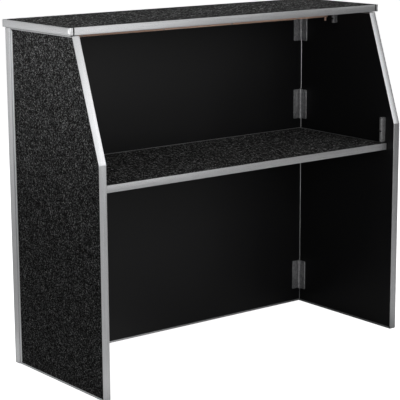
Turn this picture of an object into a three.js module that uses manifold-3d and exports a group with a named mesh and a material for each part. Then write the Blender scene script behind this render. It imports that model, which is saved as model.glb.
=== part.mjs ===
// Folding portable bar: a front panel and two side panels joined by butt hinges in the inside corners,
// a lift-off counter and a pull-out shelf, each locked to the side panels by two barrel bolts.
// Millimetres, +Z up. The customer stands at +Y, the bartender at -Y, and the origin is on the floor
// under the middle of the bar.

import * as THREE from 'three';
import { mergeVertices } from 'three/addons/utils/BufferGeometryUtils.js';
import Module from 'manifold-3d';

const wasm = await Module();
wasm.setup();

// ---- Driving dimensions ----
const BODY_W = 1192;            // across the outer faces of the side panels
const FRONT_W = 1197;           // width of the front panel, a little proud of the side panels
const PANEL_T = 25;             // panel thickness over the edge trims
const PANEL_H = 1053.2;         // height of front and side panels
const Y_CUSTOMER = 241.5;       // customer face of the front panel
const Y_WORK = -244;            // bartender's edge of the side panels, below the kink
const Y_WORK_TOP = -120.9;      // bartender's edge of the side panels at the top
const KINK_H = 698;             // where that edge starts to slope back

const COUNTER_W = 1219;
const COUNTER_T = 22.5;
const COUNTER_Y0 = -125.9;      // bartender's edge of the counter
const COUNTER_Y1 = 244;         // customer's edge of the counter
const COUNTER_Z = 1055.5;       // underside of the counter's trim
const COUNTER_R = 9;            // rounded corners
const SEAM_X = 595.5;           // the end trims turn the corners and stop here
const SEAM = 5;                 // open joint between an end trim and the long trims

const SHELF_W = 1139;
const SHELF_T = 22;
const SHELF_Y0 = -212.5;
const SHELF_Y1 = 215.4;
const SHELF_TOP = 630.5;

const TRIM_WALL = 1.0;          // sheet thickness of the trim channel
const TRIM_LIP = 3.5;           // how far the lips reach over the faces
const WORK_LIP = 1.7;           // narrow lips of the sloped and upright working edges
const FOOT_LIP = 6.5;           // wider lips of the trims that stand on the floor
const CORNER_LIP = 9.5;         // wider lip of the rear trims on the outer face
const SHELF_LIP = 4;
const GAP = 0.3;                // clearance between neighbouring pieces

const HINGE_H = 102;
const HINGE_Z = [98.5, 714.5, 986.5]; // centres of the hinges in each corner
const HINGE_REACH = 32;         // leaf width, knuckle included
const FRONT_LEAF_T = 2.3;
const SIDE_LEAF_T = 4;
const KNUCKLE_R = 5;
const PIN_R = 2.5;

const BATTEN_Y0 = 77.5;
const BATTEN_Y1 = 95.5;
const BATTEN_Z0 = 1025.6;
const TAB_X0 = 557.8;           // small block under each end of the batten
const TAB_X1 = 562.2;
const TAB_D = 6.5;
const TAB_Z0 = 1013;

const BOLT_X = 559;             // axis of all four bolts, mirrored left and right
const BOLT_R = 3;
const BOLT_HOLE = 4.6;          // half the width of the square holes that the bolts lock into
const BOLT_TRAVEL = 12;
const BARREL_R = 6.2;           // round side of the bolt's housing
const KNOB_R = 2.2;
const SHELF_BOLT_Y = -197;
const SHELF_BOLT_Z = [634, 716];    // housing
const SHELF_ROD_Z = [632, 700];     // rod, raised
const SHELF_KNOB_Z = 669.5;
const COUNTER_BOLT_Y = 40;
const COUNTER_BOLT_Z = [1009, 1046.5];
const COUNTER_ROD_Z = [1013.5, 1050.5]; // rod, lowered
const COUNTER_KNOB_Z = 1024;
const COUNTER_HOLE_TOP = 1068;  // blind end of the holes in the counter

const LEDGE_H = 28;
const LEDGE_W = 18;

const X_OUT = BODY_W / 2;
const X_IN = X_OUT - PANEL_T;             // inner face of the side panels, over the lips
const Y_FRONT_IN = Y_CUSTOMER - PANEL_T;  // inner face of the front panel, over the lips
const RECESS = TRIM_WALL + GAP;           // board face below the lip's face

// ---- Finishes ----
const finish = (color, roughness, metalness) =>
  new THREE.MeshStandardMaterial({ color, roughness, metalness });
const laminate = () => finish(0x1b1b1d, 0.55, 0.0);
const aluminium = () => finish(0xc2c4c6, 0.32, 1.0);
const zinc = () => finish(0x7d7f82, 0.42, 1.0);
const rawWood = () => finish(0x8a7160, 0.75, 0.0);
const blackPaint = () => finish(0x101011, 0.6, 0.0);
const rubber = () => finish(0x0c0c0c, 0.85, 0.0);

// ---- Helpers ----
function toSolid(geometry) {
  let g = geometry.clone();
  g.deleteAttribute('normal');
  g.deleteAttribute('uv');
  g = mergeVertices(g, 1e-4);
  return new wasm.Manifold(new wasm.Mesh({
    numProp: 3,
    vertProperties: new Float32Array(g.attributes.position.array),
    triVerts: new Uint32Array(g.index.array),
  }));
}

function toGeometry(solid) {
  const mesh = solid.getMesh();
  const g = new THREE.BufferGeometry();
  const positions = new Float32Array((mesh.vertProperties.length / mesh.numProp) * 3);
  for (let i = 0; i < positions.length / 3; i++) {
    for (let k = 0; k < 3; k++) positions[3 * i + k] = mesh.vertProperties[mesh.numProp * i + k];
  }
  g.setAttribute('position', new THREE.BufferAttribute(positions, 3));
  g.setIndex(new THREE.BufferAttribute(new Uint32Array(mesh.triVerts), 1));
  g.computeVertexNormals();
  return g;
}

function box(x0, x1, y0, y1, z0, z1) {
  const g = new THREE.BoxGeometry(x1 - x0, y1 - y0, z1 - z0);
  g.translate((x0 + x1) / 2, (y0 + y1) / 2, (z0 + z1) / 2);
  return g;
}

// Upright cylinder
function rod(x, y, z0, z1, r, sides = 14) {
  const g = new THREE.CylinderGeometry(r, r, z1 - z0, sides);
  g.rotateX(Math.PI / 2);
  g.translate(x, y, (z0 + z1) / 2);
  return g;
}

// Cylinder along Y
function crossRod(x, y0, y1, z, r, sides = 12) {
  const g = new THREE.CylinderGeometry(r, r, y1 - y0, sides);
  g.translate(x, (y0 + y1) / 2, z);
  return g;
}

function join(...geometries) {
  return geometries.map(toSolid).reduce((a, b) => a.add(b));
}

function piece(name, geometry, material) {
  const mesh = new THREE.Mesh(geometry, material);
  mesh.name = name;
  return mesh;
}

function shapeOf(points) {
  return new THREE.Shape(points.map(([x, y]) => new THREE.Vector2(x, y)));
}

function plate(points, z0, z1) {
  const g = new THREE.ExtrudeGeometry(shapeOf(points), { depth: z1 - z0, bevelEnabled: false });
  g.translate(0, 0, z0);
  return g;
}

// Moves every side of a convex outline inward by d
function inset(points, d) {
  const n = points.length;
  const lines = points.map((p, i) => {
    const q = points[(i + 1) % n];
    const l = Math.hypot(q[0] - p[0], q[1] - p[1]);
    const dir = [(q[0] - p[0]) / l, (q[1] - p[1]) / l];
    return { p: [p[0] - dir[1] * d, p[1] + dir[0] * d], dir };
  });
  return lines.map((b, i) => {
    const a = lines[(i + n - 1) % n];
    const cross = a.dir[0] * b.dir[1] - a.dir[1] * b.dir[0];
    const t = ((b.p[0] - a.p[0]) * b.dir[1] - (b.p[1] - a.p[1]) * b.dir[0]) / cross;
    return [a.p[0] + a.dir[0] * t, a.p[1] + a.dir[1] * t];
  });
}

// One mitred length of trim channel along side i of a counter-clockwise outline.
// lipLow and lipHigh are the lips' reach on the lower and upper face.
function trimAlong(points, i, thick, lipLow, lipHigh) {
  const n = points.length;
  const at = (k) => points[(k + n) % n];
  const sub = (a, b) => [a[0] - b[0], a[1] - b[1]];
  const unit = (v) => { const l = Math.hypot(v[0], v[1]); return [v[0] / l, v[1] / l]; };
  const a = at(i), b = at(i + 1);
  const dir = unit(sub(b, a));
  const inward = [-dir[1], dir[0]];
  const length = Math.hypot(b[0] - a[0], b[1] - a[1]);
  const halfAngle = (v, p, q) => {
    const u = unit(sub(p, v)), w = unit(sub(q, v));
    return Math.acos(u[0] * w[0] + u[1] * w[1]) / 2;
  };
  const cotA = 1 / Math.tan(halfAngle(a, at(i - 1), b));
  const cotB = 1 / Math.tan(halfAngle(b, a, at(i + 2)));
  const t = TRIM_WALL;
  const g = new THREE.ExtrudeGeometry(shapeOf([
    [0, 0], [lipLow, 0], [lipLow, t], [t, t], [t, thick - t], [lipHigh, thick - t], [lipHigh, thick], [0, thick],
  ]), { depth: 1, bevelEnabled: false });
  const pos = g.attributes.position;
  for (let k = 0; k < pos.count; k++) {
    const u = pos.getX(k), w = pos.getY(k), far = pos.getZ(k) > 0.5;
    const s = far ? length - u * cotB - GAP / 2 - 0.05 : u * cotA + GAP / 2 + 0.05;
    pos.setXYZ(k, a[0] + dir[0] * s + inward[0] * u, a[1] + dir[1] * s + inward[1] * u, w);
  }
  g.deleteAttribute('normal');
  g.deleteAttribute('uv');
  return g;
}

// A panel: its board and a trim on each side, drawn flat with its thickness along local Z
function panel(prefix, outline, thick, sides) {
  const group = new THREE.Group();
  group.add(piece(`${prefix}_board`, plate(inset(outline, RECESS), RECESS, thick - RECESS), laminate()));
  sides.forEach(({ name, lipLow = TRIM_LIP, lipHigh = TRIM_LIP }, i) => {
    group.add(piece(`${prefix}_trim_${name}`, trimAlong(outline, i, thick, lipLow, lipHigh), aluminium()));
  });
  return group;
}

function stand(group, xAxis, yAxis, zAxis, position) {
  const m = new THREE.Matrix4().makeBasis(
    new THREE.Vector3(...xAxis), new THREE.Vector3(...yAxis), new THREE.Vector3(...zAxis));
  group.quaternion.setFromRotationMatrix(m);
  group.position.set(...position);
  return group;
}

const bar = new THREE.Group();
bar.name = 'folding_bar';

// ---- Front panel ----
const frontX = FRONT_W / 2;
const frontOutline = [[-frontX, 0], [frontX, 0], [frontX, PANEL_H], [-frontX, PANEL_H]];
bar.add(stand(
  panel('front_panel', frontOutline, PANEL_T, [
    { name: 'bottom', lipLow: FOOT_LIP, lipHigh: FOOT_LIP }, { name: 'right' }, { name: 'top' }, { name: 'left' },
  ]),
  [1, 0, 0], [0, 0, 1], [0, -1, 0], [0, Y_CUSTOMER, 0]));

// ---- Side panels, drawn in the plane of Y and Z ----
const yRear = Y_FRONT_IN - GAP;
const sideOutline = [[Y_WORK, 0], [yRear, 0], [yRear, PANEL_H], [Y_WORK_TOP, PANEL_H], [Y_WORK, KINK_H]];
const sideTrims = (outerIsHigh) => [
  { name: 'bottom', lipLow: FOOT_LIP, lipHigh: FOOT_LIP },
  { name: 'rear', lipLow: outerIsHigh ? TRIM_LIP : CORNER_LIP, lipHigh: outerIsHigh ? CORNER_LIP : TRIM_LIP },
  { name: 'top' },
  { name: 'slope', lipLow: WORK_LIP, lipHigh: WORK_LIP },
  { name: 'edge', lipLow: WORK_LIP, lipHigh: WORK_LIP },
];
bar.add(stand(panel('left_panel', sideOutline, PANEL_T, sideTrims(false)),
  [0, 1, 0], [0, 0, 1], [1, 0, 0], [-X_OUT, 0, 0]));
bar.add(stand(panel('right_panel', sideOutline, PANEL_T, sideTrims(true)),
  [0, 1, 0], [0, 0, 1], [1, 0, 0], [X_IN, 0, 0]));

// ---- Corner hinges: a leaf on the front panel, a leaf on the side panel, and a pin ----
const hingeX = X_IN - 5.4;
const hingeY = Y_FRONT_IN - 5.5;
const frontFace = Y_FRONT_IN + RECESS;   // inner face of the front board
const sideFace = X_IN + RECESS;          // inner face of the side board
function hinge(side, label, zc) {
  const s = side === 'right' ? 1 : -1;
  const mirror = (x0, x1) => (s > 0 ? [x0, x1] : [-x1, -x0]);
  const z0 = zc - HINGE_H / 2;
  const seg = HINGE_H / 5;
  const bore = toSolid(rod(s * hingeX, hingeY, z0 - 5, z0 + HINGE_H + 5, PIN_R + GAP));
  const knuckles = (which) => which.map((k) =>
    rod(s * hingeX, hingeY, z0 + k * seg + 0.2, z0 + (k + 1) * seg - 0.2, KNUCKLE_R));
  // Clear spaces for the other leaf's knuckles
  const clear = (solid, which) => which.reduce((a, k) =>
    a.subtract(toSolid(rod(s * hingeX, hingeY, z0 + k * seg - 0.2, z0 + (k + 1) * seg + 0.2, KNUCKLE_R + 0.5))), solid);

  const [fx0, fx1] = mirror(hingeX + KNUCKLE_R - HINGE_REACH, hingeX + 0.4);
  const frontPlate = toSolid(box(fx0, fx1, frontFace - GAP - FRONT_LEAF_T, frontFace - GAP, z0, z0 + HINGE_H));
  const frontLeaf = knuckles([0, 2, 4]).map(toSolid).reduce((a, k) => a.add(k), clear(frontPlate, [1, 3])).subtract(bore);

  const [sx0, sx1] = mirror(sideFace - GAP - SIDE_LEAF_T, sideFace - GAP);
  const sidePlate = toSolid(box(sx0, sx1, hingeY + KNUCKLE_R - HINGE_REACH, hingeY - 0.9, z0, z0 + HINGE_H));
  const sideLeaf = knuckles([1, 3]).map(toSolid).reduce((a, k) => a.add(k), clear(sidePlate, [0, 2, 4])).subtract(bore);

  const pin = new THREE.LatheGeometry([
    [0, z0 - 0.4], [PIN_R, z0 - 0.4], [PIN_R, z0 + HINGE_H + 0.2], [4.4, z0 + HINGE_H + 0.2],
    [4.1, z0 + HINGE_H + 1.9], [2.2, z0 + HINGE_H + 2.8], [0, z0 + HINGE_H + 2.8],
  ].map(([r, h]) => new THREE.Vector2(r, h)), 12);
  pin.rotateX(Math.PI / 2);
  pin.translate(s * hingeX, hingeY, 0);

  bar.add(piece(`${side}_${label}_hinge_front_leaf`, toGeometry(frontLeaf), zinc()));
  bar.add(piece(`${side}_${label}_hinge_side_leaf`, toGeometry(sideLeaf), zinc()));
  bar.add(piece(`${side}_${label}_hinge_pin`, toGeometry(toSolid(pin)), zinc()));
}
for (const side of ['left', 'right']) {
  ['lower', 'middle', 'upper'].forEach((label, i) => hinge(side, label, HINGE_Z[i]));
}

// ---- Ledges that carry the shelf ----
const ledgeTop = SHELF_TOP - SHELF_T - GAP;
for (const s of [-1, 1]) {
  const [x0, x1] = s > 0 ? [sideFace - GAP - LEDGE_W, sideFace - GAP] : [-sideFace + GAP, -sideFace + GAP + LEDGE_W];
  bar.add(piece(`${s > 0 ? 'right' : 'left'}_shelf_ledge`, box(x0, x1, -95, 180, ledgeTop - LEDGE_H, ledgeTop), blackPaint()));
}
bar.add(piece('rear_shelf_ledge',
  box(-480, 480, frontFace - GAP - LEDGE_W, frontFace - GAP, ledgeTop - LEDGE_H, ledgeTop), blackPaint()));

// ---- Barrel bolts: a D-shaped housing on the side panel and a sliding rod with a knob ----
// The knob travels in a slot on the housing's far side; a notch leads from the slot round to the bay side.
function bolt(s, label, y, [z0, z1], domedTop, [rod0, rod1], bore, knobZ, slot) {
  const axis = s * BOLT_X;
  const span = (x0, x1) => (s > 0 ? [x0, x1] : [-x1, -x0]);
  const bevel = 2.6;
  const r = BARREL_R - bevel;
  const outline = [[s * (sideFace - GAP - bevel), y + r], [axis, y + r]];
  for (let k = 1; k < 12; k++) {
    const a = Math.PI / 2 + (Math.PI * k) / 12;
    outline.push([axis + s * r * Math.cos(a), y + r * Math.sin(a)]);
  }
  outline.push([axis, y - r], [s * (sideFace - GAP - bevel), y - r]);
  const shaft = new THREE.ExtrudeGeometry(shapeOf(outline), {
    depth: z1 - z0 + 20 - bevel, bevelEnabled: true, bevelThickness: bevel, bevelSize: bevel, bevelSegments: 3,
  });
  shaft.translate(0, 0, domedTop ? z0 - 20 : z0 + bevel);
  const housing = toSolid(shaft)
    .subtract(toSolid(domedTop ? box(axis - 40, axis + 40, y - 20, y + 20, z0 - 40, z0) : box(axis - 40, axis + 40, y - 20, y + 20, z1, z1 + 40)))
    .subtract(toSolid(rod(axis, y, ...bore, BOLT_R + GAP)))
    .subtract(toSolid(box(...span(BOLT_X - KNOB_R - 0.8, BOLT_X + KNOB_R + 0.8), y, y + 10, ...slot)))
    .subtract(toSolid(box(...span(BOLT_X - 10, BOLT_X), y - 5, y + 10, knobZ - 2.7, knobZ + 2.7)));
  bar.add(piece(`${label}_housing`, toGeometry(housing), zinc()));

  const stem = new THREE.LatheGeometry([
    [0, rod0], [BOLT_R - 0.8, rod0], [BOLT_R, rod0 + 0.8], [BOLT_R, rod1 - 0.8], [BOLT_R - 0.8, rod1], [0, rod1],
  ].map(([d, h]) => new THREE.Vector2(d, h)), 14);
  stem.rotateX(Math.PI / 2);
  stem.translate(axis, y, 0);
  const knob = join(stem, crossRod(axis, y, y + 9.5, knobZ, KNOB_R), crossRod(axis, y + 7.4, y + 13.4, knobZ, KNOB_R + 0.7));
  bar.add(piece(`${label}_rod`, toGeometry(knob), zinc()));
}
for (const s of [-1, 1]) {
  const side = s > 0 ? 'right' : 'left';
  bolt(s, `${side}_shelf_bolt`, SHELF_BOLT_Y, SHELF_BOLT_Z, true, SHELF_ROD_Z, [600, SHELF_ROD_Z[1] + 4],
    SHELF_KNOB_Z, [SHELF_KNOB_Z - BOLT_TRAVEL - 3, SHELF_KNOB_Z + 2.7]);
  bolt(s, `${side}_counter_bolt`, COUNTER_BOLT_Y, COUNTER_BOLT_Z, false, COUNTER_ROD_Z, [COUNTER_ROD_Z[0] - 0.8, 1080],
    COUNTER_KNOB_Z, [COUNTER_KNOB_Z - 2.7, COUNTER_KNOB_Z + BOLT_TRAVEL + 3]);
}

// ---- Counter ----
const ccx = COUNTER_W / 2;
function roundedOutline(d, steps) {
  const x = ccx - d, y0 = COUNTER_Y0 + d, y1 = COUNTER_Y1 - d, r = COUNTER_R - d;
  const corners = [[x - r, y0 + r, -90], [x - r, y1 - r, 0], [-x + r, y1 - r, 90], [-x + r, y0 + r, 180]];
  return corners.flatMap(([cx, cy, a]) => Array.from({ length: steps + 1 }, (_, k) => {
    const t = (a + (90 * k) / steps) * Math.PI / 180;
    return [cx + r * Math.cos(t), cy + r * Math.sin(t)];
  }));
}
const counter = new THREE.Group();
counter.position.set(0, 0, COUNTER_Z);
let counterBoard = toSolid(plate(roundedOutline(RECESS, 6), RECESS, COUNTER_T - RECESS));
for (const s of [-1, 1]) {
  counterBoard = counterBoard.subtract(toSolid(box(
    s * BOLT_X - BOLT_HOLE, s * BOLT_X + BOLT_HOLE, COUNTER_BOLT_Y - BOLT_HOLE, COUNTER_BOLT_Y + BOLT_HOLE,
    -5, COUNTER_HOLE_TOP - COUNTER_Z)));
}
counter.add(piece('counter_board', toGeometry(counterBoard), laminate()));

// The trim runs all round in four lengths: the end trims turn the corners, the long ones lie between them
const ring = toSolid(plate(roundedOutline(0, 6), 0, COUNTER_T))
  .subtract(toSolid(plate(roundedOutline(TRIM_LIP, 6), -1, COUNTER_T + 1)))
  .subtract(toSolid(plate(roundedOutline(TRIM_WALL, 6), TRIM_WALL, COUNTER_T - TRIM_WALL)));
const far = 700;
const trimParts = {
  front: box(-SEAM_X + SEAM, SEAM_X - SEAM, -far, 0, -5, 40),
  rear: box(-SEAM_X + SEAM, SEAM_X - SEAM, 0, far, -5, 40),
  left: box(-far, -SEAM_X, -far, far, -5, 40),
  right: box(SEAM_X, far, -far, far, -5, 40),
};
for (const [name, region] of Object.entries(trimParts)) {
  counter.add(piece(`counter_trim_${name}`, toGeometry(ring.intersect(toSolid(region))), aluminium()));
}
bar.add(counter);

const boardUnder = COUNTER_Z + RECESS - GAP;
const batten = join(
  box(-sideFace + GAP + 3.3, sideFace - GAP - 3.3, BATTEN_Y0, BATTEN_Y1, BATTEN_Z0, boardUnder),
  box(TAB_X0, TAB_X1, BATTEN_Y0, BATTEN_Y0 + TAB_D, TAB_Z0, BATTEN_Z0 + 1),
  box(-TAB_X1, -TAB_X0, BATTEN_Y0, BATTEN_Y0 + TAB_D, TAB_Z0, BATTEN_Z0 + 1),
);
bar.add(piece('counter_batten', toGeometry(batten), rawWood()));
bar.add(piece('left_seat_strip', box(-X_OUT + 5, -X_IN - 5, -112, 205, PANEL_H + GAP, boardUnder), rubber()));
bar.add(piece('right_seat_strip', box(X_IN + 5, X_OUT - 5, -112, 205, PANEL_H + GAP, boardUnder), rubber()));
bar.add(piece('rear_seat_strip', box(-560, 560, 222, 236, PANEL_H + GAP, boardUnder), rubber()));

// ---- Shelf ----
const shelf = new THREE.Group();
shelf.position.set(0, 0, SHELF_TOP - SHELF_T);
const sx = SHELF_W / 2;
const shelfOutline = [[-sx, SHELF_Y0], [sx, SHELF_Y0], [sx, SHELF_Y1], [-sx, SHELF_Y1]];
let shelfBoard = toSolid(plate(inset(shelfOutline, RECESS), RECESS, SHELF_T - RECESS));
for (const s of [-1, 1]) {
  shelfBoard = shelfBoard.subtract(toSolid(box(
    s * BOLT_X - BOLT_HOLE, s * BOLT_X + BOLT_HOLE, SHELF_BOLT_Y - BOLT_HOLE, SHELF_BOLT_Y + BOLT_HOLE, -5, 40)));
}
shelf.add(piece('shelf_board', toGeometry(shelfBoard), laminate()));
['front', 'right', 'rear', 'left'].forEach((name, i) => {
  shelf.add(piece(`shelf_trim_${name}`, trimAlong(shelfOutline, i, SHELF_T, SHELF_LIP, SHELF_LIP), aluminium()));
});
bar.add(shelf);

export default bar;
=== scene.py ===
import math

import bmesh
import bpy
from mathutils import Matrix, Vector


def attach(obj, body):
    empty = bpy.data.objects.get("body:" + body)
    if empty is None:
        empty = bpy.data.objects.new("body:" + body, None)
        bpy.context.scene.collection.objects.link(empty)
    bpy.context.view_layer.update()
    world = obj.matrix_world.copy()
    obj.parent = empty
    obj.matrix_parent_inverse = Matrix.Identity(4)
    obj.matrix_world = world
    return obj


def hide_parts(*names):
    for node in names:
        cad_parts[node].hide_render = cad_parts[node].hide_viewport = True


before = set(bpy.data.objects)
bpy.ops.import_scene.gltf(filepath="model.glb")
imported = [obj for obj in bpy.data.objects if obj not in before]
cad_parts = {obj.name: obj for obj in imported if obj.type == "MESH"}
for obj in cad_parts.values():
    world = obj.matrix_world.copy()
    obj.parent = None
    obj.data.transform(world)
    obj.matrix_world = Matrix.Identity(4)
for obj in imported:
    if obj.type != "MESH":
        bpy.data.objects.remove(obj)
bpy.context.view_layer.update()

scene = bpy.context.scene
MM = 0.001

# ---------------------------------------------------------------- dimensions, in millimetres, as in the solids
X_OUT, X_IN, FRONT_X = 596.0, 571.0, 598.5
Y_CUSTOMER, Y_FRONT_IN = 241.5, 216.5
Y_REAR = Y_FRONT_IN - 0.3
Y_WORK, Y_WORK_TOP = -244.0, -120.9
PANEL_H, KINK_H, PANEL_T = 1053.2, 698.0, 25.0
COUNTER_X, COUNTER_Y0, COUNTER_Y1 = 609.5, -125.9, 244.0
COUNTER_Z, COUNTER_T, COUNTER_R = 1055.5, 22.5, 9.0
SEAM_X, SEAM = 595.5, 5.0
SHELF_X, SHELF_Y0, SHELF_Y1 = 569.5, -212.5, 215.4
SHELF_T, SHELF_TOP = 22.0, 630.5
WALL, LIP, WORK_LIP, FOOT_LIP, CORNER_LIP, SHELF_LIP, GAP = 1.0, 3.5, 1.7, 6.5, 9.5, 4.0, 0.3
RECESS = WALL + GAP
SIDE_FACE, FRONT_FACE = X_IN + RECESS, Y_FRONT_IN + RECESS
HINGE_H, HINGE_Z = 102.0, {"lower": 98.5, "middle": 714.5, "upper": 986.5}
HINGE_REACH, FRONT_LEAF_T, SIDE_LEAF_T = 32.0, 2.3, 4.0
HINGE_X, HINGE_Y, KNUCKLE_R, PIN_R = X_IN - 5.4, Y_FRONT_IN - 5.5, 5.0, 2.5
BOLT_X, BOLT_R, BARREL_R, BOLT_HOLE, BOLT_TRAVEL, KNOB_R = 559.0, 3.0, 6.2, 4.6, 12.0, 2.2
# y, housing z, rod z, knob z, domed end at the top, bore z, slot z
BOLTS = {
    "shelf": (-197.0, (634.0, 716.0), (632.0, 700.0), 669.5, True, (600.0, 704.0), (654.5, 672.2)),
    "counter": (40.0, (1009.0, 1046.5), (1013.5, 1050.5), 1024.0, False, (1012.7, 1080.0), (1021.3, 1039.0)),
}
BATTEN_Y0, BATTEN_Y1, BATTEN_Z0 = 77.5, 95.5, 1025.6
TAB_X0, TAB_X1, TAB_D, TAB_Z0 = 557.8, 562.2, 6.5, 1013.0
KINK_R = 12.0
FLOOR_GREY = 0.78


# ---------------------------------------------------------------- materials
class Graph:
    """A node material with one Principled shader."""

    def __init__(self, name):
        self.mat = bpy.data.materials.new(name)
        self.mat.use_nodes = True
        self.nt = self.mat.node_tree
        self.nt.nodes.clear()
        self.out = self.nt.nodes.new("ShaderNodeOutputMaterial")
        self.bsdf = self.nt.nodes.new("ShaderNodeBsdfPrincipled")
        self.nt.links.new(self.bsdf.outputs[0], self.out.inputs[0])

    def node(self, kind, inputs=None, **attrs):
        n = self.nt.nodes.new(kind)
        for k, v in attrs.items():
            setattr(n, k, v)
        for k, v in (inputs or {}).items():
            self.feed(n.inputs[k], v)
        return n

    def feed(self, socket, value):
        if isinstance(value, bpy.types.NodeSocket):
            self.nt.links.new(value, socket)
        else:
            socket.default_value = value

    def set(self, **values):
        names = {"color": "Base Color", "rough": "Roughness", "metal": "Metallic", "spec": "Specular IOR Level",
                 "normal": "Normal", "coat": "Coat Weight", "coat_rough": "Coat Roughness", "aniso": "Anisotropic",
                 "tangent": "Tangent"}
        for k, v in values.items():
            self.feed(self.bsdf.inputs[names[k]], v)

    def ramp(self, fac, stops, mode="LINEAR"):
        n = self.node("ShaderNodeValToRGB", {"Fac": fac})
        n.color_ramp.interpolation = mode
        el = n.color_ramp.elements
        while len(el) < len(stops):
            el.new(0.5)
        for e, (pos, col) in zip(el, stops):
            e.position = pos
            c = (col, col, col) if isinstance(col, (int, float)) else col
            e.color = (*c, 1.0)
        return n.outputs["Color"]

    def rescale(self, value, a, b, c, d):
        n = self.node("ShaderNodeMapRange", {"Value": value, "From Min": a, "From Max": b, "To Min": c, "To Max": d})
        return n.outputs["Result"]

    def math(self, op, a, b):
        n = self.node("ShaderNodeMath", operation=op)
        self.feed(n.inputs[0], a)
        self.feed(n.inputs[1], b)
        return n.outputs[0]

    def mix(self, fac, a, b, blend="MIX"):
        n = self.node("ShaderNodeMix", data_type="RGBA", blend_type=blend)
        self.feed(n.inputs[0], fac)
        self.feed(n.inputs[6], a)
        self.feed(n.inputs[7], b)
        return n.outputs[2]

    def place(self, scale=(1, 1, 1), uv=False, offset=(0, 0, 0)):
        src = self.node("ShaderNodeUVMap").outputs["UV"] if uv else self.node("ShaderNodeTexCoord").outputs["Object"]
        m = self.node("ShaderNodeMapping", {"Vector": src, "Scale": scale, "Location": offset})
        return m.outputs["Vector"]

    def noise(self, where, scale, detail=4.0, rough=0.55):
        return self.node("ShaderNodeTexNoise", {"Vector": where, "Scale": scale, "Detail": detail, "Roughness": rough}).outputs["Fac"]

    def bump(self, height, strength, distance):
        return self.node("ShaderNodeBump", {"Height": height, "Strength": strength, "Distance": distance}).outputs["Normal"]


def speckle_laminate(name, painted_light_lift=1.0, spec=0.05, size=1.0, spark=0.0):
    """Black laminate with grey flecks of several sizes and a slightly pebbled surface; the second argument scales the
    fleck brightness and is set per board as painted light.
    """
    g = Graph(name)
    where = g.place()
    wobble = g.node("ShaderNodeTexNoise", {"Vector": where, "Scale": 190.0, "Detail": 2.0})
    bent = g.node("ShaderNodeVectorMath", operation="MULTIPLY_ADD")
    g.feed(bent.inputs[0], wobble.outputs["Color"])
    bent.inputs[1].default_value = (0.0022, 0.0022, 0.0022)
    g.feed(bent.inputs[2], where)
    cells = g.node("ShaderNodeTexVoronoi", {"Vector": bent.outputs[0], "Scale": 270.0 / size, "Randomness": 1.0})
    fine = g.node("ShaderNodeTexVoronoi", {"Vector": bent.outputs[0], "Scale": 620.0 / size, "Randomness": 1.0})
    pick = g.node("ShaderNodeSeparateColor", {"Color": cells.outputs["Color"]})
    pick2 = g.node("ShaderNodeSeparateColor", {"Color": fine.outputs["Color"]})
    k = painted_light_lift
    big = g.ramp(pick.outputs[0], [(0.0, 0.0008), (0.36, 0.003 * k), (0.6, 0.024 * k * (1 - 0.5 * spark)), (0.78, 0.075 * k * (1 - 0.33 * spark)),
                                   (0.92, 0.15 * k * (1 + 0.13 * spark)), (1.0, 0.24 * k * (1 + 0.75 * spark))])
    small = g.ramp(pick2.outputs[1], [(0.0, 0.003), (0.5, 0.012 * k), (0.8, 0.06 * k), (1.0, 0.19 * k)])
    patch = g.ramp(g.noise(where, 38.0, 3.0), [(0.3, 0.82), (0.7, 1.12)])
    base = g.mix(0.16, big, small)
    base = g.mix(1.0, base, patch, "MULTIPLY")
    rough = g.rescale(pick.outputs[2], 0.0, 1.0, 0.62, 0.78)
    height = g.math("ADD", g.math("MULTIPLY", pick.outputs[1], 0.6), g.noise(where, 420.0, 3.0))
    g.set(color=base, rough=rough, spec=spec, normal=g.bump(height, 0.3, 0.0004))
    return g.mat


def satin_laminate(name):
    """Plain black laminate: a soft satin with a very fine grain and faint handling marks."""
    g = Graph(name)
    where = g.place()
    fine = g.noise(where, 900.0, 3.0)
    broad = g.noise(g.place((1.0, 1.0, 0.35)), 7.0, 5.0, 0.6)
    rub = g.noise(g.place((3.0, 3.0, 0.6), offset=(0.3, 0.1, 0.7)), 22.0, 6.0, 0.7)
    base = g.ramp(fine, [(0.3, (0.0052, 0.0052, 0.0056)), (0.7, (0.0085, 0.0085, 0.009))])
    rough = g.math("ADD", g.rescale(broad, 0.3, 0.7, 0.34, 0.42), g.rescale(rub, 0.55, 0.8, 0.0, 0.05))
    g.set(color=base, rough=rough, spec=0.2, normal=g.bump(fine, 0.12, 0.0002))
    return g.mat


def brushed_aluminium(name, metal=0.9, shade=1.0):
    """Satin channel: drawing lines along the length, light soiling, and small scuffs."""
    g = Graph(name)
    lines = g.noise(g.place((3.0, 2600.0, 1.0), uv=True), 1.0, 5.0, 0.65)
    broad = g.noise(g.place((9.0, 160.0, 1.0), uv=True), 1.0, 4.0, 0.6)
    scuff = g.noise(g.place((42.0, 420.0, 1.0), uv=True, offset=(1.7, 0.4, 0.0)), 1.0, 6.0, 0.75)
    base = g.ramp(lines, [(0.25, (0.50 * shade, 0.505 * shade, 0.515 * shade)), (0.55, (0.585 * shade, 0.59 * shade, 0.60 * shade)),
                          (0.8, (0.65 * shade, 0.655 * shade, 0.66 * shade))])
    soil = g.ramp(broad, [(0.28, 0.92), (0.6, 1.0)])
    base = g.mix(1.0, base, soil, "MULTIPLY")
    rough = g.math("ADD", g.rescale(lines, 0.25, 0.75, 0.24, 0.36), g.rescale(scuff, 0.56, 0.8, 0.0, 0.16))
    g.set(color=base, rough=rough, metal=metal, normal=g.bump(lines, 0.10, 0.00012))
    return g.mat


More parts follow.
